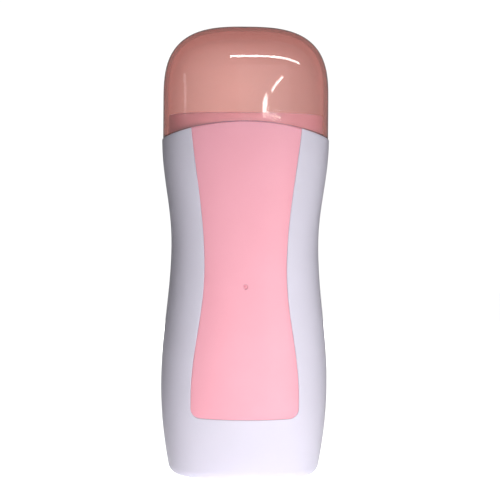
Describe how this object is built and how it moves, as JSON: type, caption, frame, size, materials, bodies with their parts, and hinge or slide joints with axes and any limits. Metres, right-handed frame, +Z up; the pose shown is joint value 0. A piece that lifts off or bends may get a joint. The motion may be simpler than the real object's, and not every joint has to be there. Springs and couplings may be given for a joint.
{
  "type": "roll-on wax heater",
  "caption": "Hand-held roll-on wax heater: waisted two-part white body, pink inlay panel, aluminium cartridge well and a clear pink push-on cap.",
  "frame": {"origin": "middle of the base, on the surface that the heater stands on", "axes": "+Z up along the body, +X to the right seen from the front; the pink panel faces -Y"},
  "size_m": [0.0784, 0.0579, 0.21],
  "materials": {
    "white_abs": "satin moulded",
    "pink_abs": "satin moulded",
    "clear_pink": "clear polished",
    "aluminium_sheet": "drawn",
    "ceramic_heater": "matt ceramic",
    "mica": "layered sheet",
    "spring_steel": "bright",
    "fibre_paper": "matt fibre",
    "black_plastic": "satin moulded",
    "fuse_case": "plated",
    "board": "solder resist",
    "clear_epoxy": "clear",
    "resistor_body": "lacquered",
    "nickel": "plated",
    "screw_steel": "zinc plated",
    "red_wire": "extruded sleeve",
    "white_wire": "extruded sleeve",
    "blue_wire": "extruded sleeve"
  },
  "bodies": {
    "body": {"front_shell": "white_abs", "rear_shell": "white_abs", "neck_collar": "white_abs", "front_panel": "pink_abs", "heating_well": "aluminium_sheet", "heat_spreader": "aluminium_sheet", "ptc_element": "ceramic_heater", "mica_sheet": "mica", "pressure_spring": "spring_steel", "insulation_sleeve": "fibre_paper", "thermostat": "black_plastic", "thermal_fuse": "fuse_case", "led_board": "board", "indicator_led": "clear_epoxy", "light_pipe": "clear_epoxy", "led_resistor": "resistor_body", "rectifier_diode": "black_plastic", "inlet_socket": "black_plastic", "inlet_pin_left": "nickel", "inlet_pin_right": "nickel", "case_screw_1": "screw_steel", "case_screw_2": "screw_steel", "case_screw_3": "screw_steel", "case_screw_4": "screw_steel", "wire_live": "red_wire", "wire_fuse_to_thermostat": "red_wire", "wire_thermostat_to_ptc": "white_wire", "wire_neutral": "blue_wire", "wire_led_live": "white_wire", "wire_led_neutral": "white_wire"},
    "cap": {"cap": "clear_pink"}
  },
  "joints": [
    {"name": "cap_lift", "type": "slide", "parent": "body", "child": "cap", "axis": [0, 0, 1], "range_m": [0, 0.06]}
  ]
}
